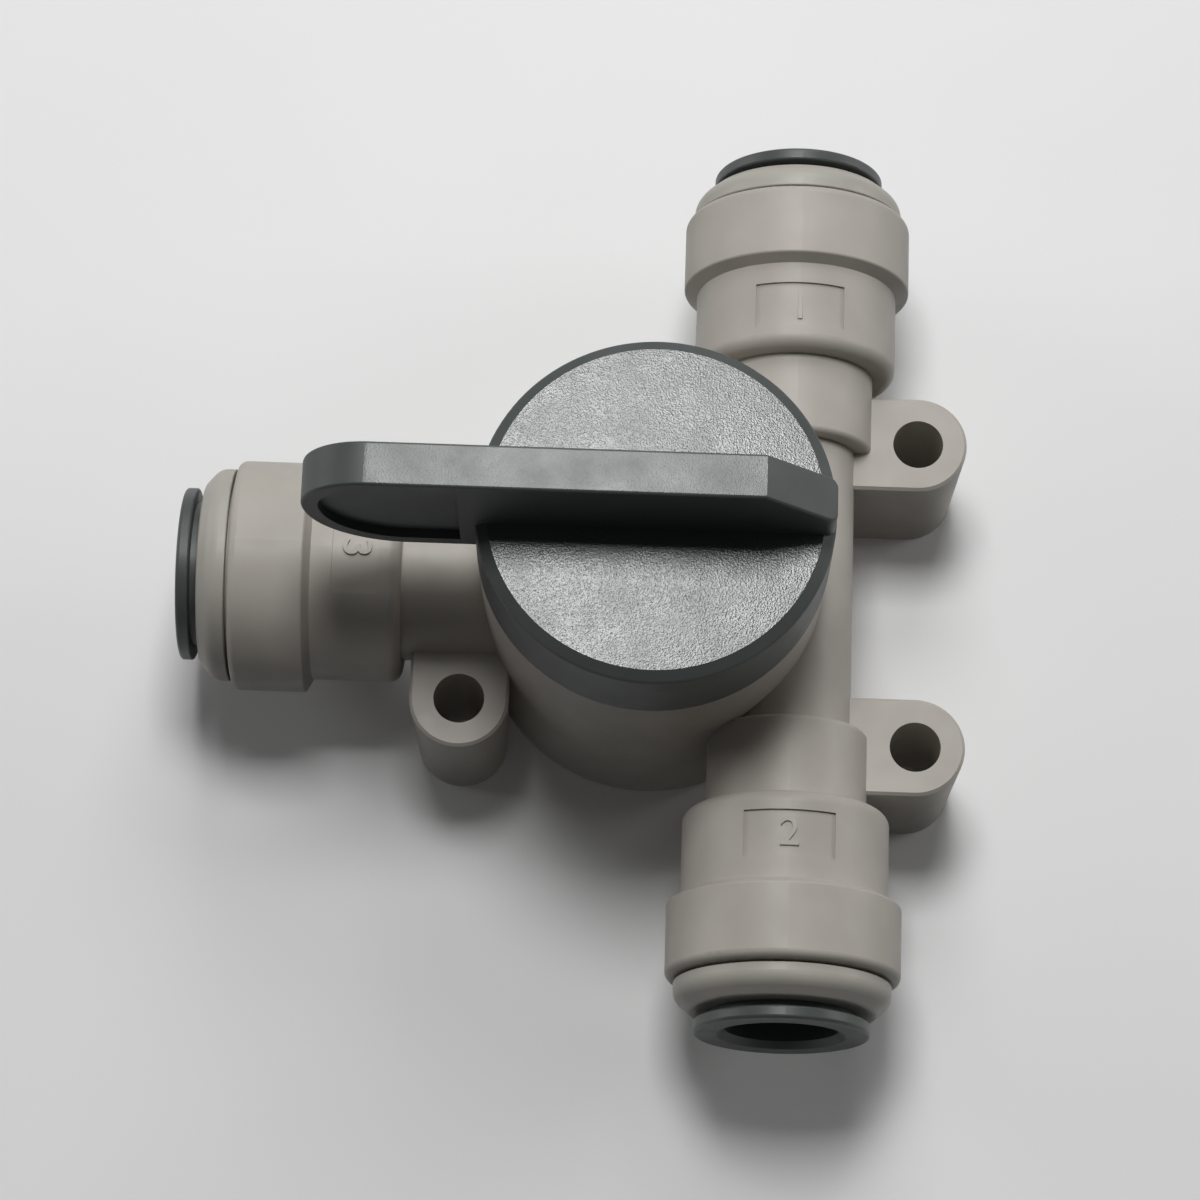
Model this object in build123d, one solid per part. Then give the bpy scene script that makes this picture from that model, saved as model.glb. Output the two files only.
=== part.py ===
from build123d import *
import math
import os

# Three way valve for 3/8 inch push-fit tube.  All sizes are in millimetres.
# Origin: on the handle's axis, at the flat underside that the valve is screwed down on.
# +Z runs up the handle's axis, the two run ports face +Y and -Y, the branch port faces -X.

# Tube that the ports take, and the places of the three ports
TUBE_BORE_R = 4.83        # 9.53 mm tube with a little clearance
PORT_HEIGHT = 13.0        # port axes above the underside
RUN_OFFSET = 12.1         # the run passes beside the valve barrel, on its +X side
RUN_REACH = 39.2          # mouth of each run port from the handle's axis
BRANCH_REACH = 40.8       # mouth of the branch port from the handle's axis
FLOW_R = 3.3

# Port outside, as radii and as depths from the collet's outer face
RING_R, RING_FRONT, RING_BACK, RING_CORNER_R = 10.0, 4.6, 11.0, 0.7
SOCKET_R, SOCKET_FRONT, SOCKET_BACK = 8.85, 11.6, 19.3
NECK_R, NECK_BACK = 6.9, 26.4
PIPE_R = 5.42

# Port inside
CAP_SEAT_R, CAP_SEAT_BACK = 8.3, 9.2
FINGER_ROOM_R, FINGER_ROOM_BACK = 7.6, 12.4
SEAL_SEAT_R, SEAL_SEAT_BACK = 6.5, 14.4
TUBE_STOP_R, TUBE_STOP = 4.9, 19.0

# End cap
CAP_R, CAP_NOSE_R = 9.25, 7.9
CAP_NOSE, CAP_SHOULDER, CAP_RIM_BACK = 1.8, 3.0, 4.37
CAP_BORE_R, CAP_CONE_R, CAP_CONE_START, CAP_CONE_END = 6.36, 7.2, 6.9, 8.5

# Seal on each tube
TUBE_SEAL_BORE_R = 4.72

# Collet and its teeth
COLLET_R, COLLET_FLANGE, COLLET_STEM_R, COLLET_HEAD_R = 7.5, 1.1, 6.3, 7.1
COLLET_MOUTH, COLLET_CONE_START, COLLET_CONE_END, COLLET_END = 0.6, 8.6, 10.2, 11.6
FINGERS = 6
SLIT_WIDTH, SLIT_START = 0.9, 5.5
TOOTH_DEPTH, TOOTH_THICK, TOOTH_WIDTH = 10.5, 0.45, 3.0
TOOTH_TIP_R, TOOTH_ROOT_R = 4.86, 6.7

# Valve barrel of the body
BARREL_R, BARREL_TOP, FOOT_CHAMFER = 14.8, 25.7, 0.5
CAVITY_R, CAVITY_FLOOR = 11.0, 4.5
COLLAR_R, COLLAR_TOP = 12.6, 28.5
STOP_TOP, STOP_ANGLE = 31.3, 82.0
CORE_R, CORE_DEPTH, CORE_HUB_R, CORE_RIB = 12.8, 2.5, 5.0, 1.8
WINDOW_ANGLE, WINDOW_R = 29.0, 2.4
DIVIDER = 6.0

# Screw lugs: centres of the three holes
LUG_X, LUG_Y = 23.05, 13.85
BRANCH_LUG_X, BRANCH_LUG_Y = -16.3, -10.85
LUG_R, LUG_FOOT_R, LUG_TOP = 4.3, 3.95, 14.25
LUG_HOLE_R = 2.2

# Rotor, its seals and the bonnet that holds it down
LINER_R, LINER_TOP = 9.86, 22.6
ROTOR_R, ROTOR_FOOT, ROTOR_TOP = 9.8, 4.55, 22.75
ROTOR_SIDE_R, ROTOR_CHAMFER = 2.6, 0.3
STEM_R, STEM_SHOULDER, STEM_TOP, STEM_SQUARE = 4.5, 28.0, 32.9, 6.2
SQUARE_CHAMFER = 0.4
STEM_GROOVE_R, STEM_GROOVE_WIDTH = 3.86, 0.9
STEM_SEAL_HEIGHTS = (24.3, 25.5)
WASHER_R, WASHER_BORE_R = 9.2, 4.7
WASHER_FOOT, WASHER_TOP = 22.8, 23.3
BONNET_FOOT, BONNET_TOP, BONNET_R, BONNET_BORE_R = 23.35, 26.2, 10.96, 4.56
BONNET_SEAL_HEIGHT, BONNET_SEAL_WIRE, BONNET_GROOVE_WIDTH = 24.6, 0.55, 1.3
CIRCLIP_R, CIRCLIP_GROOVE_R, CIRCLIP_BORE_R = 11.6, 11.65, 9.7
CIRCLIP_FOOT, CIRCLIP_TOP, CIRCLIP_GAP = 26.22, 27.05, 5.2
EYE_X, EYE_Y, EYE_R, EYE_HOLE_R = 9.2, 3.9, 1.5, 0.7

# Handle
HANDLE_R, HANDLE_WALL = 14.94, 1.7
SKIRT_FOOT, DISC_TOP, DISC_THICK = 25.9, 34.5, 2.3
RIM_CHAMFER_R, RIM_CHAMFER_H = 0.98, 0.64
BLADE_THICK, BLADE_TOP, BLADE_FOOT = 3.78, 42.95, 28.9
BLADE_TIP_X, BLADE_TIP_R, BLADE_SLOPE_X, BLADE_HEEL_TOP = -28.9, 5.55, 8.8, 37.5
BLADE_HEEL_X, BLADE_CORNER_R, BLADE_EDGE_R = 14.8, 0.8, 0.25
POCKET_RIM, POCKET_DEPTH, POCKET_END_X = 1.4, 0.75, -16.1
HUB_R, HUB_FOOT = 6.2, 28.6
STOP_LUG_WIDTH, STOP_LUG_FOOT, STOP_LUG_INNER_R = 3.0, 28.9, 10.6
SOCKET_GAP = 0.02


def turned(corners):
    """Solid of revolution about Z from (radius, height) corners, each with an optional rounding radius."""
    count = len(corners)
    edges = []
    joints = []
    for index, corner in enumerate(corners):
        here = Vector(corner[0], 0, corner[1])
        rounding = corner[2] if len(corner) > 2 else 0
        if not rounding:
            joints.append((here, here, None))
            continue
        before = Vector(corners[index - 1][0], 0, corners[index - 1][1])
        after_corner = corners[(index + 1) % count]
        after = Vector(after_corner[0], 0, after_corner[1])
        to_before = (before - here).normalized()
        to_after = (after - here).normalized()
        half_angle = math.radians(to_before.get_angle(to_after)) / 2
        tangent = rounding / math.tan(half_angle)
        inward = (to_before + to_after).normalized()
        middle = here + inward * (rounding / math.sin(half_angle) - rounding)
        joints.append((here + to_before * tangent, here + to_after * tangent, middle))
    for index, (entry, leave, middle) in enumerate(joints):
        if middle is not None:
            edges.append(ThreePointArc(entry, middle, leave))
        next_entry = joints[(index + 1) % count][0]
        if (next_entry - leave).length > 1e-6:
            edges.append(Line(leave, next_entry))
    return revolve(make_face(Wire(edges)), Axis.Z)


def tube(outer_r, inner_r, foot, top):
    """Plain ring about Z."""
    return turned([(inner_r, foot), (outer_r, foot), (outer_r, top), (inner_r, top)])


def rod(radius, foot, top):
    """Plain round bar about Z."""
    return Pos(0, 0, foot) * Cylinder(radius, top - foot, align=(Align.CENTER, Align.CENTER, Align.MIN))


def block(x_range, y_range, z_range):
    """Box between two corners."""
    size = [high - low for low, high in (x_range, y_range, z_range)]
    centre = [(high + low) / 2 for low, high in (x_range, y_range, z_range)]
    return Pos(*centre) * Box(*size)


def o_ring(centre_r, wire_r, height):
    """O-ring about Z."""
    return Pos(0, 0, height) * Torus(centre_r, wire_r)


# Each port is modelled about Z with its mouth at height 0 and its inside below, then laid in place.
PORTS = {
    "rear": Plane(origin=(RUN_OFFSET, RUN_REACH, PORT_HEIGHT), x_dir=(0, 0, 1), z_dir=(0, 1, 0)),
    "front": Plane(origin=(RUN_OFFSET, -RUN_REACH, PORT_HEIGHT), x_dir=(0, 0, 1), z_dir=(0, -1, 0)),
    "branch": Plane(origin=(-BRANCH_REACH, 0, PORT_HEIGHT), x_dir=(0, 0, 1), z_dir=(-1, 0, 0)),
}


def port_outside():
    """Outer form of one socket: locking ring, barrel with its sunk label panel, and neck."""
    outline = turned([
        (0, -RING_FRONT), (RING_R, -RING_FRONT, RING_CORNER_R), (RING_R, -RING_BACK, 0.25),
        (SOCKET_R, -SOCKET_FRONT), (SOCKET_R, -SOCKET_BACK, 1.1),
        (NECK_R, -SOCKET_BACK), (NECK_R, -NECK_BACK, 0.5), (PIPE_R, -NECK_BACK), (PIPE_R, -NECK_BACK - 1),
        (0, -NECK_BACK - 1),
    ])
    panel_depth, panel_width, panel_length = 0.22, 7.7, 4.0
    panel_middle = (SOCKET_FRONT + SOCKET_BACK) / 2
    panel_room = block(
        (SOCKET_R / 2, RING_R),
        (-panel_width / 2, panel_width / 2),
        (-panel_middle - panel_length / 2, -panel_middle + panel_length / 2),
    )
    panel = panel_room & tube(RING_R + 1, SOCKET_R - panel_depth, -SOCKET_BACK, -SOCKET_FRONT)
    return outline - panel


def port_inside(flow_end):
    """Hollow of one socket, stepping down to the flow bore, which runs on to flow_end."""
    return turned([
        (0, 1), (CAP_SEAT_R, 1), (CAP_SEAT_R, -CAP_SEAT_BACK), (FINGER_ROOM_R, -CAP_SEAT_BACK),
        (FINGER_ROOM_R, -FINGER_ROOM_BACK), (SEAL_SEAT_R, -FINGER_ROOM_BACK), (SEAL_SEAT_R, -SEAL_SEAT_BACK),
        (TUBE_STOP_R, -SEAL_SEAT_BACK), (TUBE_STOP_R, -TUBE_STOP), (FLOW_R, -TUBE_STOP),
        (FLOW_R, -flow_end), (0, -flow_end),
    ])


def screw_lug(x, y, reach, turn):
    """Tall drafted lug with a flat top, U-shaped in plan; its web reaches back into the body."""
    draft = math.degrees(math.atan((LUG_R - LUG_FOOT_R) / LUG_TOP))
    outline = Wire([
        Line((-reach, -LUG_R), (0, -LUG_R)),
        ThreePointArc((0, -LUG_R), (LUG_R, 0), (0, LUG_R)),
        Line((0, LUG_R), (-reach, LUG_R)),
        Line((-reach, LUG_R), (-reach, -LUG_R)),
    ])
    lug = extrude(make_face(outline), -LUG_TOP, taper=draft)
    top_edges = lug.edges().group_by(Axis.Z)[-1]
    outer_edges = [edge for edge in top_edges if edge.center().X > -reach + 0.01]
    return Pos(x, y, LUG_TOP) * Rot(0, 0, turn) * chamfer(outer_edges, 0.25)


def barrel():
    """Valve barrel: outer wall, collar inside the handle's skirt, half-round stop, cored underside."""
    shape = turned([
        (0, 0), (BARREL_R - FOOT_CHAMFER, 0), (BARREL_R, FOOT_CHAMFER), (BARREL_R, BARREL_TOP, 0.3),
        (COLLAR_R, BARREL_TOP), (COLLAR_R, COLLAR_TOP), (0, COLLAR_TOP),
    ])
    stop_face = [(0, 0)]
    stop_reach = 3 * COLLAR_R
    for side in (-1, 1):
        angle = math.radians(side * STOP_ANGLE)
        stop_face.append((stop_reach * math.cos(angle), stop_reach * math.sin(angle)))
    stop_wedge = Pos(0, 0, COLLAR_TOP - 1) * extrude(
        make_face(Polyline(*stop_face, close=True)), STOP_TOP - COLLAR_TOP + 1, dir=(0, 0, 1))
    shape += stop_wedge & rod(COLLAR_R, COLLAR_TOP - 1, STOP_TOP)
    ribs = rod(CORE_HUB_R, -1, CORE_DEPTH + 1)
    ribs += block((-BARREL_R, BARREL_R), (-CORE_RIB / 2, CORE_RIB / 2), (-1, CORE_DEPTH + 1))
    ribs += block((-CORE_RIB / 2, CORE_RIB / 2), (-BARREL_R, BARREL_R), (-1, CORE_DEPTH + 1))
    return shape - (rod(CORE_R, -1, CORE_DEPTH) - ribs)


def valve_body():
    """Moulded body with its three sockets, run pipe, branch pipe, barrel and screw lugs."""
    shape = barrel()
    run_length = 2 * (RUN_REACH - NECK_BACK)
    shape += Pos(RUN_OFFSET, 0, PORT_HEIGHT) * Rot(90, 0, 0) * Cylinder(PIPE_R, run_length)
    neck_start = -BRANCH_REACH + SOCKET_BACK
    branch_neck = Cylinder(NECK_R, -CAVITY_R - neck_start)
    shape += Pos((neck_start - CAVITY_R) / 2, 0, PORT_HEIGHT) * Rot(0, 90, 0) * branch_neck
    for plane in PORTS.values():
        shape += plane * port_outside()
    run_reach = LUG_X - RUN_OFFSET - PIPE_R + 1
    shape += screw_lug(LUG_X, LUG_Y, run_reach, 0)
    shape += screw_lug(LUG_X, -LUG_Y, run_reach, 0)
    shape += screw_lug(BRANCH_LUG_X, BRANCH_LUG_Y, -BRANCH_LUG_Y - NECK_R + 2, -90)
    # Hollows: barrel cavity with its circlip groove, then the three sockets and the two side windows.
    shape -= rod(CAVITY_R, CAVITY_FLOOR, STOP_TOP + 1)
    shape -= rod(CIRCLIP_GROOVE_R, CIRCLIP_FOOT - 0.02, CIRCLIP_TOP + 0.05)
    for name, plane in PORTS.items():
        flow_end = BRANCH_REACH - CAVITY_R + 0.5 if name == "branch" else RUN_REACH - DIVIDER / 2
        shape -= plane * port_inside(flow_end)
    for side in (-1, 1):
        shape -= window(side, CAVITY_R - 1, RUN_OFFSET)
    for x, y in ((LUG_X, LUG_Y), (LUG_X, -LUG_Y), (BRANCH_LUG_X, BRANCH_LUG_Y)):
        shape -= Pos(x, y, 0) * rod(LUG_HOLE_R, -1, LUG_TOP + 1)
    return shape


def window(side, inner, outer):
    """Radial hole from the cavity towards one half of the run, at WINDOW_ANGLE either side of +X."""
    hole = Pos((inner + outer) / 2, 0, PORT_HEIGHT) * Rot(0, 90, 0) * Cylinder(WINDOW_R, outer - inner)
    return Rot(0, 0, side * WINDOW_ANGLE) * hole


def end_cap():
    """Light grey cap pressed into the socket; its inner cone closes the collet on the tube."""
    return turned([
        (CAP_BORE_R, -CAP_NOSE), (CAP_NOSE_R, -CAP_NOSE, 0.6), (CAP_R, -CAP_SHOULDER, 1.5),
        (CAP_R, -CAP_RIM_BACK, 0.12), (CAP_SEAT_R, -CAP_RIM_BACK), (CAP_SEAT_R, -CAP_SEAT_BACK),
        (CAP_CONE_R, -CAP_SEAT_BACK), (CAP_CONE_R, -CAP_CONE_END), (CAP_BORE_R, -CAP_CONE_START),
    ])


def tooth_slots():
    """The pockets in the finger heads that hold the teeth, which are also the teeth's own shape."""
    slots = []
    for index in range(FINGERS):
        middle_r = (TOOTH_TIP_R + TOOTH_ROOT_R) / 2
        plate = Pos(middle_r, 0, -TOOTH_DEPTH) * Box(TOOTH_ROOT_R - TOOTH_TIP_R, TOOTH_WIDTH, TOOTH_THICK)
        plate &= tube(COLLET_HEAD_R, TOOTH_TIP_R, -COLLET_END, -SLIT_START)
        slots.append(Rot(0, 0, (index + 0.5) * 360 / FINGERS) * plate)
    return slots


def collet():
    """Charcoal release collet: flange, stem and six sprung fingers with heads."""
    shape = turned([
        (TUBE_BORE_R, -COLLET_MOUTH), (TUBE_BORE_R + COLLET_MOUTH, 0, 0.15),
        (COLLET_R, 0, 0.3), (COLLET_R, -COLLET_FLANGE, 0.2),
        (COLLET_STEM_R, -COLLET_FLANGE), (COLLET_STEM_R, -COLLET_CONE_START),
        (COLLET_HEAD_R, -COLLET_CONE_END),
        (COLLET_HEAD_R, -COLLET_END, 0.2), (TUBE_BORE_R + 0.3, -COLLET_END), (TUBE_BORE_R, -COLLET_END + 0.3),
    ])
    for index in range(FINGERS):
        slit = block(
            (TUBE_BORE_R / 2, COLLET_HEAD_R + 1),
            (-SLIT_WIDTH / 2, SLIT_WIDTH / 2),
            (-COLLET_END - 1, -SLIT_START),
        )
        shape -= Rot(0, 0, index * 360 / FINGERS) * slit
    for slot in tooth_slots():
        shape -= slot
    return shape


def rotor():
    """Rotor and stem in one: a cross bore and two side ports meet in the middle, under a square drive."""
    shape = turned([
        (0, ROTOR_FOOT), (ROTOR_R - ROTOR_CHAMFER, ROTOR_FOOT), (ROTOR_R, ROTOR_FOOT + ROTOR_CHAMFER),
        (ROTOR_R, ROTOR_TOP),
        (STEM_R, ROTOR_TOP), (STEM_R, STEM_SHOULDER), (0, STEM_SHOULDER),
    ])
    half = STEM_SQUARE / 2
    square = block((-half, half), (-half, half), (STEM_SHOULDER - 0.5, STEM_TOP))
    shape += chamfer(square.edges().group_by(Axis.Z)[-1], SQUARE_CHAMFER)
    for height in STEM_SEAL_HEIGHTS:
        half_width = STEM_GROOVE_WIDTH / 2
        shape -= tube(STEM_R + 1, STEM_GROOVE_R, height - half_width, height + half_width)
    shape -= Pos(0, 0, PORT_HEIGHT) * Rot(90, 0, 0) * Cylinder(FLOW_R, 2 * ROTOR_R + 2)
    for side in (-1, 1):
        side_port = Pos(ROTOR_R / 2 + 1, 0, 0) * Rot(0, 90, 0) * Cylinder(ROTOR_SIDE_R, ROTOR_R + 2)
        shape -= Rot(0, 0, side * (90 - WINDOW_ANGLE)) * Pos(0, 0, PORT_HEIGHT) * side_port
    return shape


def seal_liner():
    """Rubber sleeve between rotor and body, open at the branch and at both run windows."""
    shape = tube(CAVITY_R, LINER_R, CAVITY_FLOOR, LINER_TOP)
    shape -= Pos(-CAVITY_R, 0, PORT_HEIGHT) * Rot(0, 90, 0) * Cylinder(FLOW_R, 6)
    for side in (-1, 1):
        shape -= window(side, LINER_R - 2, RUN_OFFSET)
    return shape


def bonnet():
    """Plug that closes the barrel round the stem, grooved for its O-ring."""
    groove_r = BONNET_R - 2 * BONNET_SEAL_WIRE
    shape = tube(BONNET_R, BONNET_BORE_R, BONNET_FOOT, BONNET_TOP)
    groove_half = BONNET_GROOVE_WIDTH / 2
    shape -= tube(BONNET_R + 1, groove_r, BONNET_SEAL_HEIGHT - groove_half, BONNET_SEAL_HEIGHT + groove_half)
    return shape


def bonnet_circlip():
    """Internal circlip with two eyes, sprung into the collar's groove."""
    ring = tube(CIRCLIP_R, CIRCLIP_BORE_R, CIRCLIP_FOOT, CIRCLIP_TOP)
    half_gap = CIRCLIP_GAP / 2
    ring -= block((0, CIRCLIP_R + 1), (-half_gap, half_gap), (CIRCLIP_FOOT - 1, CIRCLIP_TOP + 1))
    for side in (-1, 1):
        ring += Pos(EYE_X, side * EYE_Y) * rod(EYE_R, CIRCLIP_FOOT, CIRCLIP_TOP)
    for side in (-1, 1):
        ring -= Pos(EYE_X, side * EYE_Y) * rod(EYE_HOLE_R, CIRCLIP_FOOT - 1, CIRCLIP_TOP + 1)
    return ring & rod(CIRCLIP_R, CIRCLIP_FOOT, CIRCLIP_TOP)


def stem_o_rings():
    """Two O-rings in the stem's grooves, separate solids in one group."""
    outer_r = BONNET_BORE_R - 0.03
    wire_r = (outer_r - STEM_GROOVE_R) / 2
    return Compound([o_ring(STEM_GROOVE_R + wire_r, wire_r, height) for height in STEM_SEAL_HEIGHTS])


def rounded_end(end_x, inset):
    """Closed upright outline of the grip, square at end_x; the tip's upper arc is tighter than its lower."""
    top, foot, tip_x = BLADE_TOP - inset, BLADE_FOOT + inset, BLADE_TIP_X + inset
    top_r = BLADE_TIP_R - inset
    foot_r = top - foot - top_r
    tip_z = top - top_r
    diagonal = math.sqrt(0.5)
    return Wire([
        Line((end_x, 0, top), (tip_x + top_r, 0, top)),
        ThreePointArc(
            (tip_x + top_r, 0, top),
            (tip_x + top_r * (1 - diagonal), 0, tip_z + top_r * diagonal),
            (tip_x, 0, tip_z),
        ),
        ThreePointArc(
            (tip_x, 0, tip_z),
            (tip_x + foot_r * (1 - diagonal), 0, tip_z - foot_r * diagonal),
            (tip_x + foot_r, 0, foot),
        ),
        Line((tip_x + foot_r, 0, foot), (end_x, 0, foot)),
        Line((end_x, 0, foot), (end_x, 0, top)),
    ])


def blade():
    """Upright lever: square heel end with a sloped top corner, long round-ended grip over the branch."""
    inner_x = -(HANDLE_R - HANDLE_WALL / 2)
    root = DISC_TOP - 1
    shape = extrude(make_face(rounded_end(inner_x, 0)), BLADE_THICK / 2, both=True)
    heel = Polyline(
        (inner_x, 0, root), (BLADE_HEEL_X, 0, root), (BLADE_HEEL_X, 0, BLADE_HEEL_TOP),
        (BLADE_SLOPE_X, 0, BLADE_TOP), (inner_x, 0, BLADE_TOP), close=True,
    )
    shape += extrude(make_face(heel), BLADE_THICK / 2, both=True)
    shape = shape.clean()
    heel_corners = shape.edges().filter_by(Axis.Z).group_by(Axis.X)[-1]
    shape = fillet(heel_corners, BLADE_CORNER_R)
    sides = [face for face in shape.faces() if abs(abs(face.center().Y) - BLADE_THICK / 2) < 0.01]
    rims = [edge for face in sides for edge in face.edges()
            if edge.center().Z > root + 0.1 or edge.center().X < inner_x - 0.1]
    shape = fillet(rims, BLADE_EDGE_R)
    pocket = extrude(make_face(rounded_end(POCKET_END_X, POCKET_RIM)), POCKET_DEPTH, both=True)
    for side in (-1, 1):
        shape -= Pos(0, side * BLADE_THICK / 2, 0) * pocket
    return shape


def handle():
    """Charcoal handle: skirted disc, hub with a square socket, stop lug and blade."""
    inner_r = HANDLE_R - HANDLE_WALL
    inner_top = DISC_TOP - DISC_THICK
    shape = turned([
        (0, inner_top), (inner_r, inner_top), (inner_r, SKIRT_FOOT), (HANDLE_R, SKIRT_FOOT, 0.3),
        (HANDLE_R, DISC_TOP - RIM_CHAMFER_H, 0.4), (HANDLE_R - RIM_CHAMFER_R, DISC_TOP), (0, DISC_TOP),
    ])
    shape += rod(HUB_R, HUB_FOOT, inner_top + 0.5)
    shape += block(
        (-inner_r - 0.5, -STOP_LUG_INNER_R),
        (-STOP_LUG_WIDTH / 2, STOP_LUG_WIDTH / 2),
        (STOP_LUG_FOOT, inner_top + 0.5),
    )
    shape += blade()
    socket_width = STEM_SQUARE + 2 * SOCKET_GAP
    socket = block(
        (-socket_width / 2, socket_width / 2),
        (-socket_width / 2, socket_width / 2),
        (HUB_FOOT - 1, STEM_TOP + SOCKET_GAP),
    )
    return shape - socket


def build():
    """Every node of the valve, by name."""
    nodes = {"valve_body": valve_body()}
    seal_wire = (SEAL_SEAT_R - TUBE_SEAL_BORE_R) / 2
    for name, plane in PORTS.items():
        nodes[f"{name}_end_cap"] = plane * end_cap()
        nodes[f"{name}_collet"] = plane * collet()
        nodes[f"{name}_collet_teeth"] = plane * Compound(tooth_slots())
        seal_height = -(FINGER_ROOM_BACK + SEAL_SEAT_BACK) / 2
        nodes[f"{name}_tube_o_ring"] = plane * o_ring(SEAL_SEAT_R - 0.01 - seal_wire, seal_wire, seal_height)
    nodes["rotor"] = rotor()
    nodes["seal_liner"] = seal_liner()
    nodes["thrust_washer"] = tube(WASHER_R, WASHER_BORE_R, WASHER_FOOT, WASHER_TOP)
    nodes["bonnet"] = bonnet()
    nodes["bonnet_o_ring"] = o_ring(
        CAVITY_R - 0.02 - BONNET_SEAL_WIRE, BONNET_SEAL_WIRE, BONNET_SEAL_HEIGHT)
    nodes["bonnet_circlip"] = bonnet_circlip()
    nodes["stem_o_rings"] = stem_o_rings()
    nodes["handle"] = handle()
    return nodes


os.makedirs("parts", exist_ok=True)
for node_name, node_shape in build().items():
    export_step(node_shape, f"parts/{node_name}.step")
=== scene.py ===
import math
import bpy
from mathutils import Matrix, Vector


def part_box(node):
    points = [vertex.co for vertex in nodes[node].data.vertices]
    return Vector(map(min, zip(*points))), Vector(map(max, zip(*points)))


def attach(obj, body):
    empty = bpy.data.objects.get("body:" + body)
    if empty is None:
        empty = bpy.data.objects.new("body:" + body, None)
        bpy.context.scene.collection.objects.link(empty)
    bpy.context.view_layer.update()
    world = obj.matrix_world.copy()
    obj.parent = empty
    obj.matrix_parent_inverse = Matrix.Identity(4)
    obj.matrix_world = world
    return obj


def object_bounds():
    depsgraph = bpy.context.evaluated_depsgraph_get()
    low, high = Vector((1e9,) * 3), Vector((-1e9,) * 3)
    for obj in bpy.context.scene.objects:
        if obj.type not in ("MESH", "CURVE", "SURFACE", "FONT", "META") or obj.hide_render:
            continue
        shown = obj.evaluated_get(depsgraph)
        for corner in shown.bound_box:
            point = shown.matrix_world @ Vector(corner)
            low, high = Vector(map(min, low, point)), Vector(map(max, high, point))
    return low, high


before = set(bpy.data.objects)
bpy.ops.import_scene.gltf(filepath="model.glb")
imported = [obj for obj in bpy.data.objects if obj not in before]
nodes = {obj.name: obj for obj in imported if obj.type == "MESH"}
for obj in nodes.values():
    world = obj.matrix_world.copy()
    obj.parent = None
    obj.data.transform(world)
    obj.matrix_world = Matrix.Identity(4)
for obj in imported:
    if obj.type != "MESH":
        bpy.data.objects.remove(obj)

cad_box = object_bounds()


# ---------------------------------------------------------------------------------------------
# Valve body.  One moulding in warm light grey polypropylene: three sockets, the run pipe, the
# branch neck, the round barrel and three screw lugs.  The mould is bead-blasted, so the skin is
# an even satin, with very faint blotches in the colour.
# ---------------------------------------------------------------------------------------------
mm = 0.001


def new_material(name, base, roughness):
    """Empty procedural material: its node tree, its shader and a texture coordinate node."""
    material = bpy.data.materials.new(name)
    material.use_nodes = True
    tree = material.node_tree
    shader = tree.nodes["Principled BSDF"]
    shader.inputs["Base Color"].default_value = (*base, 1)
    shader.inputs["Roughness"].default_value = roughness
    place = tree.nodes.new("ShaderNodeTexCoord")
    return material, tree, shader, place


def noise_on(tree, place, feature, detail):
    """Noise whose blobs are about one feature long, in metres, fixed to the piece."""
    noise = tree.nodes.new("ShaderNodeTexNoise")
    noise.inputs["Scale"].default_value = 1 / feature
    noise.inputs["Detail"].default_value = detail
    tree.links.new(place.outputs["Object"], noise.inputs["Vector"])
    return noise.outputs["Fac"]


def two_tones(tree, factor, dark, light, low=0.35, high=0.65):
    """Colour that runs from dark to light as the factor runs from low to high."""
    ramp = tree.nodes.new("ShaderNodeValToRGB")
    ramp.color_ramp.elements[0].position = low
    ramp.color_ramp.elements[0].color = (*dark, 1)
    ramp.color_ramp.elements[1].position = high
    ramp.color_ramp.elements[1].color = (*light, 1)
    tree.links.new(factor, ramp.inputs["Fac"])
    return ramp.outputs["Color"]


def spread(tree, factor, low, high):
    """Number that runs from low to high as the factor runs over the middle of its range."""
    remap = tree.nodes.new("ShaderNodeMapRange")
    remap.inputs["From Min"].default_value = 0.3
    remap.inputs["From Max"].default_value = 0.7
    remap.inputs["To Min"].default_value = low
    remap.inputs["To Max"].default_value = high
    tree.links.new(factor, remap.inputs["Value"])
    return remap.outputs["Result"]


def bump(tree, height, depth, under=None):
    """Bump of the given depth in metres, laid over another bump if there is one."""
    node = tree.nodes.new("ShaderNodeBump")
    node.inputs["Distance"].default_value = depth
    tree.links.new(height, node.inputs["Height"])
    if under is not None:
        tree.links.new(under, node.inputs["Normal"])
    return node.outputs["Normal"]


def shade(colour, amount):
    """The same colour, darker or lighter by a factor."""
    return tuple(channel * amount for channel in colour)


def moulded_plastic(name, base, roughness, grain, grain_depth, specular):
    """Satin moulding: faint blotches in the colour, patches in the sheen, shallow sinks and fine grain."""
    blotch, sheen_patch, sink_width, sink_depth = 7 * mm, 2.5 * mm, 4 * mm, 0.03 * mm
    material, tree, shader, place = new_material(name, base, roughness)
    colour = two_tones(tree, noise_on(tree, place, blotch, 3), shade(base, 0.94), shade(base, 1.04))
    tree.links.new(colour, shader.inputs["Base Color"])
    finish = spread(tree, noise_on(tree, place, sheen_patch, 2), roughness - 0.05, roughness + 0.06)
    tree.links.new(finish, shader.inputs["Roughness"])
    sink = bump(tree, noise_on(tree, place, sink_width, 1), sink_depth)
    skin = bump(tree, noise_on(tree, place, grain, 4), grain_depth, sink)
    tree.links.new(skin, shader.inputs["Normal"])
    shader.inputs["Specular IOR Level"].default_value = specular
    return material


def give(node_names, material):
    """These carried-over pieces take this material."""
    for node_name in node_names:
        slots = nodes[node_name].data.materials
        slots.clear()
        slots.append(material)


body_grey = (0.47, 0.44, 0.395)
body_plastic = moulded_plastic("body_plastic", body_grey, 0.46, 0.12 * mm, 0.004 * mm, 0.4)
give(["valve_body"], body_plastic)


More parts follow.
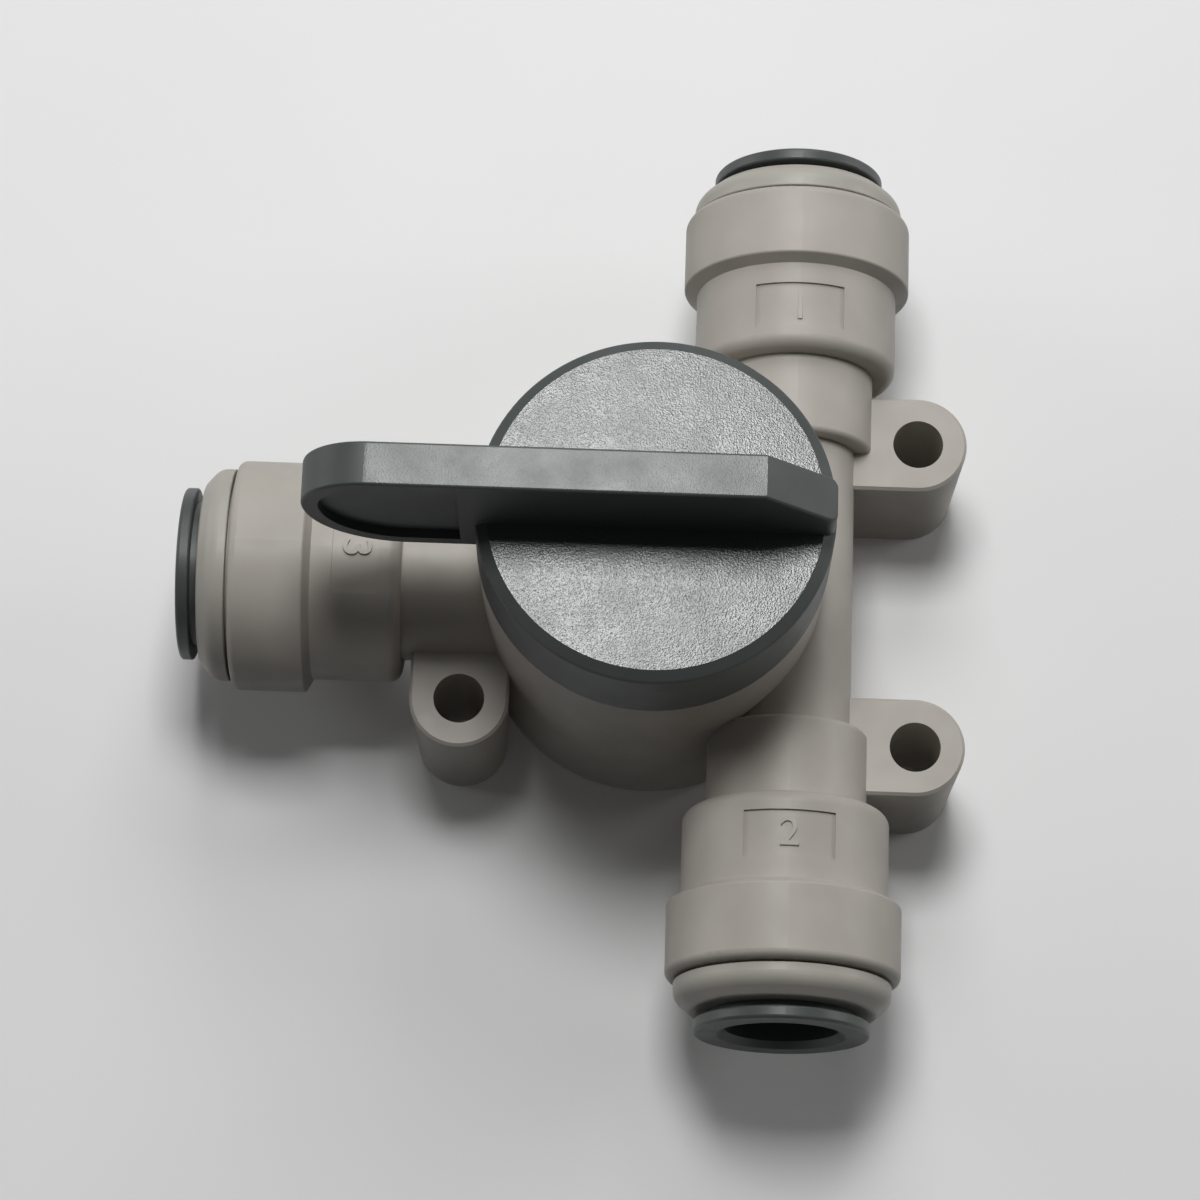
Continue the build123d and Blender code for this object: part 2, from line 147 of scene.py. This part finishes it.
# ---------------------------------------------------------------------------------------------
# Port numerals.  One raised numeral in the sunk panel on top of each socket.  They are part of
# the body's moulding, engraved in its mould with softened edges.  Each numeral's top points back
# towards the valve's middle.
# ---------------------------------------------------------------------------------------------
port_names = ("rear", "front", "branch")
numeral_size = 3.5 * mm
numeral_relief = 0.13 * mm
numeral_softening = 0.04 * mm
panel_depth = 0.22 * mm
panel_from_mouth = 15.45 * mm
socket_radius = 8.85 * mm


def port_axis(port):
    """Mouth of a port in the middle of its collet's face, and the direction that it looks out in."""
    outward = Vector({"rear": (0, 1, 0), "front": (0, -1, 0), "branch": (-1, 0, 0)}[port])
    low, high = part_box(port + "_collet")
    middle = (low + high) / 2
    reach = max(abs((corner - middle).dot(outward)) for corner in (low, high))
    return middle + outward * reach, outward


for numeral, port in zip("123", port_names):
    mouth, outward = port_axis(port)
    panel_floor = mouth - outward * panel_from_mouth
    panel_floor.z += socket_radius - panel_depth
    bpy.ops.object.select_all(action="DESELECT")
    bpy.ops.object.text_add()
    letter = bpy.context.object
    letter.name = "port_numeral_" + numeral
    letter.data.body = numeral
    letter.data.align_x = "CENTER"
    letter.data.align_y = "CENTER"
    letter.data.size = numeral_size
    letter.data.extrude = numeral_relief
    letter.data.bevel_depth = numeral_softening
    letter.data.bevel_resolution = 2
    bpy.ops.object.convert(target="MESH")
    up = -outward
    reading = up.cross(Vector((0, 0, 1)))
    place = Matrix((reading, up, Vector((0, 0, 1)))).transposed().to_4x4()
    place.translation = panel_floor
    letter.data.transform(place)
    letter.data.materials.append(body_plastic)
    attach(letter, "body")


# ---------------------------------------------------------------------------------------------
# End caps.  A round-nosed cap is pressed into each socket and surrounds the collet.  Moulded in
# the body's grey, but in a smoother mould.
# ---------------------------------------------------------------------------------------------
cap_grey = (0.445, 0.425, 0.38)
cap_plastic = moulded_plastic("cap_plastic", cap_grey, 0.42, 0.09 * mm, 0.002 * mm, 0.45)
give([port + "_end_cap" for port in port_names], cap_plastic)


# ---------------------------------------------------------------------------------------------
# Collets.  Charcoal acetal release rings, moulded, with a thin flange that the finger presses.
# Each slides in its end cap.
# ---------------------------------------------------------------------------------------------
charcoal = (0.075, 0.084, 0.082)
collet_plastic = moulded_plastic("collet_plastic", charcoal, 0.4, 0.1 * mm, 0.003 * mm, 0.5)
give([port + "_collet" for port in port_names], collet_plastic)


# ---------------------------------------------------------------------------------------------
# Grip teeth and circlip.  Stainless strip, stamped, with fine drawing lines along one direction.
# The teeth are moulded into the collets' fingers, and the circlip is sprung into the collar.
# ---------------------------------------------------------------------------------------------
steel_grey = (0.58, 0.58, 0.57)
line_stretch = 0.04
line_depth = 0.002 * mm


def drawn_steel(name, roughness, line_width):
    """Bright strip with fine lines drawn out along X."""
    material, tree, shader, place = new_material(name, steel_grey, roughness)
    shader.inputs["Metallic"].default_value = 1.0
    stretch = tree.nodes.new("ShaderNodeMapping")
    stretch.inputs["Scale"].default_value = (line_stretch, 1, 1)
    tree.links.new(place.outputs["Object"], stretch.inputs["Vector"])
    lines = tree.nodes.new("ShaderNodeTexNoise")
    lines.inputs["Scale"].default_value = 1 / line_width
    tree.links.new(stretch.outputs["Vector"], lines.inputs["Vector"])
    colour = two_tones(tree, lines.outputs["Fac"], shade(steel_grey, 0.85), shade(steel_grey, 1.1))
    tree.links.new(colour, shader.inputs["Base Color"])
    finish = spread(tree, lines.outputs["Fac"], roughness - 0.08, roughness + 0.1)
    tree.links.new(finish, shader.inputs["Roughness"])
    tree.links.new(bump(tree, lines.outputs["Fac"], line_depth), shader.inputs["Normal"])
    return material


tooth_steel = drawn_steel("tooth_steel", 0.3, 0.06 * mm)
give([port + "_collet_teeth" for port in port_names], tooth_steel)
give(["bonnet_circlip"], drawn_steel("spring_steel", 0.36, 0.1 * mm))


# ---------------------------------------------------------------------------------------------
# Seals.  Black nitrile O-rings and the rotor's rubber sleeve: matt, a little greased.
# Each is held in its groove or seat by its own squeeze.
# ---------------------------------------------------------------------------------------------
rubber_black = (0.018, 0.018, 0.019)
grease_patch, rubber_grain, rubber_grain_depth = 1.2 * mm, 0.08 * mm, 0.004 * mm
seal_rubber, tree, shader, place = new_material("seal_rubber", rubber_black, 0.55)
greasy = noise_on(tree, place, grease_patch, 3)
tree.links.new(spread(tree, greasy, 0.35, 0.7), shader.inputs["Roughness"])
tree.links.new(two_tones(tree, greasy, rubber_black, shade(rubber_black, 1.8)), shader.inputs["Base Color"])
rubber_skin = bump(tree, noise_on(tree, place, rubber_grain, 3), rubber_grain_depth)
tree.links.new(rubber_skin, shader.inputs["Normal"])
give([port + "_tube_o_ring" for port in port_names], seal_rubber)
give(["seal_liner", "bonnet_o_ring", "stem_o_rings"], seal_rubber)


# ---------------------------------------------------------------------------------------------
# Inside of the barrel.  The rotor is moulded in natural acetal and turns with the handle, under a
# white low-friction washer and a bonnet in the body's grey.
# ---------------------------------------------------------------------------------------------
acetal_white = (0.72, 0.72, 0.68)
washer_white = (0.82, 0.82, 0.8)
bonnet_grey = shade(body_grey, 0.96)
give(["rotor"], moulded_plastic("rotor_acetal", acetal_white, 0.3, 0.15 * mm, 0.002 * mm, 0.5))
give(["thrust_washer"], moulded_plastic("washer_ptfe", washer_white, 0.25, 0.2 * mm, 0.002 * mm, 0.4))
give(["bonnet"], moulded_plastic("bonnet_plastic", bonnet_grey, 0.48, 0.12 * mm, 0.004 * mm, 0.4))


# ---------------------------------------------------------------------------------------------
# Handle.  One charcoal moulding: skirted disc with an upright blade, pushed on the stem's square.
# The disc's face and the blade's flat top come from spark-eroded faces of the mould, so they are
# grainy and glossy; the rim, the sloped heel and the sides are smooth and matt.
# ---------------------------------------------------------------------------------------------
handle_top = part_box("handle")[1].z
disc_face = 34.5 * mm
disc_radius = 14.94 * mm
rim_chamfer = 0.98 * mm
face_band = 0.05 * mm
margin = 0.01 * mm
blade_top_share = 0.6
spark_cell, spark_pit, spark_depth = 0.15 * mm, 0.13 * mm, 0.013 * mm
skin_grain, skin_depth = 0.1 * mm, 0.002 * mm
matt, glossy = 0.5, 0.24
plain_specular, sparked_specular = 0.5, 0.68
rubbed_patch, rubbed_change = 3 * mm, 0.035
handle_charcoal = (0.066, 0.075, 0.073)

handle_plastic, tree, shader, place = new_material("handle_plastic", handle_charcoal, matt)


def compare(operation, first, second):
    """One step of arithmetic between a socket and a number, or between two sockets."""
    node = tree.nodes.new("ShaderNodeMath")
    node.operation = operation
    tree.links.new(first, node.inputs[0])
    if isinstance(second, float):
        node.inputs[1].default_value = second
    else:
        tree.links.new(second, node.inputs[1])
    return node.outputs["Value"]


def by_sparking(plain, sparked_value):
    """Number that is plain on the smooth faces and reaches another value on the spark-eroded ones."""
    node = tree.nodes.new("ShaderNodeMapRange")
    node.inputs["To Min"].default_value = plain
    node.inputs["To Max"].default_value = sparked_value
    tree.links.new(sparked, node.inputs["Value"])
    return node.outputs["Result"]


split = tree.nodes.new("ShaderNodeSeparateXYZ")
tree.links.new(place.outputs["Object"], split.inputs["Vector"])
across, along, height = split.outputs["X"], split.outputs["Y"], split.outputs["Z"]
squares = compare("ADD", compare("MULTIPLY", across, across), compare("MULTIPLY", along, along))
from_axis = compare("SQRT", squares, 0.0)
inside_rim = compare("LESS_THAN", from_axis, disc_radius - rim_chamfer)
above_skirt = compare("GREATER_THAN", height, disc_face - margin)
below_blade = compare("LESS_THAN", height, disc_face + face_band)
on_disc = compare("MULTIPLY", compare("MULTIPLY", above_skirt, inside_rim), below_blade)
on_top = compare("GREATER_THAN", height, handle_top - margin)
sparked = compare("ADD", on_disc, compare("MULTIPLY", on_top, blade_top_share))

grain = tree.nodes.new("ShaderNodeTexVoronoi")
grain.inputs["Scale"].default_value = 1 / spark_cell
tree.links.new(place.outputs["Object"], grain.inputs["Vector"])
pits = noise_on(tree, place, spark_pit, 2)
rough_height = compare("MULTIPLY", compare("ADD", grain.outputs["Distance"], pits), sparked)
fine_skin = bump(tree, noise_on(tree, place, skin_grain, 3), skin_depth)
tree.links.new(bump(tree, rough_height, spark_depth, fine_skin), shader.inputs["Normal"])
dull, fresh = shade(handle_charcoal, 0.92), shade(handle_charcoal, 1.08)
tree.links.new(two_tones(tree, noise_on(tree, place, 5 * mm, 3), dull, fresh), shader.inputs["Base Color"])
rubbed = spread(tree, noise_on(tree, place, rubbed_patch, 4), -rubbed_change, rubbed_change)
tree.links.new(compare("ADD", by_sparking(matt, glossy), rubbed), shader.inputs["Roughness"])
tree.links.new(by_sparking(plain_specular, sparked_specular), shader.inputs["Specular IOR Level"])
give(["handle"], handle_plastic)


# ---------------------------------------------------------------------------------------------
# Floor, light and camera.  A pale matt floor that throws no light back on the valve's underside,
# a small key light that shines in the handle's disc, and three soft fills.
# ---------------------------------------------------------------------------------------------
bpy.ops.object.select_all(action="DESELECT")
floor_width = 3.0
floor_gap = 0.02 * mm
bpy.ops.mesh.primitive_plane_add(size=floor_width, location=(0, 0, -floor_gap))
floor = bpy.context.object
floor.name = "floor"
bpy.ops.object.transform_apply(location=True, rotation=False, scale=False)
paper_white = (0.95, 0.95, 0.95)
paper, tree, shader, place = new_material("floor_paper", paper_white, 0.85)
dim_paper, bright_paper = (0.94, 0.94, 0.94), (0.96, 0.96, 0.96)
paper_tone = two_tones(tree, noise_on(tree, place, 40 * mm, 2), dim_paper, bright_paper)
tree.links.new(paper_tone, shader.inputs["Base Color"])
floor.data.materials.append(paper)
floor.visible_diffuse = False


def softbox(name, direction, distance, width, power):
    """Square soft light that looks at the middle of the valve."""
    middle = (cad_box[0] + cad_box[1]) / 2
    light = bpy.data.lights.new(name, "AREA")
    light.shape = "SQUARE"
    light.size = width
    light.energy = power
    lamp = bpy.data.objects.new(name, light)
    bpy.context.scene.collection.objects.link(lamp)
    away = Vector(direction).normalized()
    lamp.location = middle + away * distance
    lamp.rotation_euler = away.to_track_quat("Z", "Y").to_euler()
    return lamp


softbox("key_light", (-0.03, 0.30, 0.95), 0.36, 0.11, 0.66)
softbox("rear_light", (0.05, 0.75, 0.66), 0.5, 0.25, 0.7)
softbox("right_light", (0.9, 0.3, 0.27), 0.8, 0.36, 1.2)
softbox("left_light", (-0.9, 0.3, 0.25), 0.8, 0.4, 1.1)

world = bpy.data.worlds.new("studio")
world.use_nodes = True
world.node_tree.nodes["Background"].inputs["Color"].default_value = (1, 1, 1, 1)
world.node_tree.nodes["Background"].inputs["Strength"].default_value = 0.06
bpy.context.scene.world = world
bpy.context.scene.view_settings.view_transform = "Standard"

camera_azimuth = math.radians(1.24)
camera_elevation = math.radians(71.86)
camera_roll = math.radians(0.77)
camera_distance = 343.9 * mm
camera_target = Vector((-4.46 * mm, -0.80 * mm, 13.0 * mm))

back = Vector((
    math.sin(camera_azimuth) * math.cos(camera_elevation),
    -math.cos(camera_azimuth) * math.cos(camera_elevation),
    math.sin(camera_elevation),
))
level = Vector((math.cos(camera_azimuth), math.sin(camera_azimuth), 0))
upright = back.cross(level)
right = math.cos(camera_roll) * level + math.sin(camera_roll) * upright
camera_up = back.cross(right)
camera = bpy.data.objects.new("camera", bpy.data.cameras.new("camera"))
bpy.context.scene.collection.objects.link(camera)
camera.data.sensor_width = 36
camera.data.lens = 118.30
camera.data.shift_x = -0.0001
camera.data.shift_y = -0.0030
camera.data.clip_start = 0.01
camera.matrix_world = Matrix((right, camera_up, back)).transposed().to_4x4()
camera.location = camera_target + back * camera_distance
bpy.context.scene.camera = camera
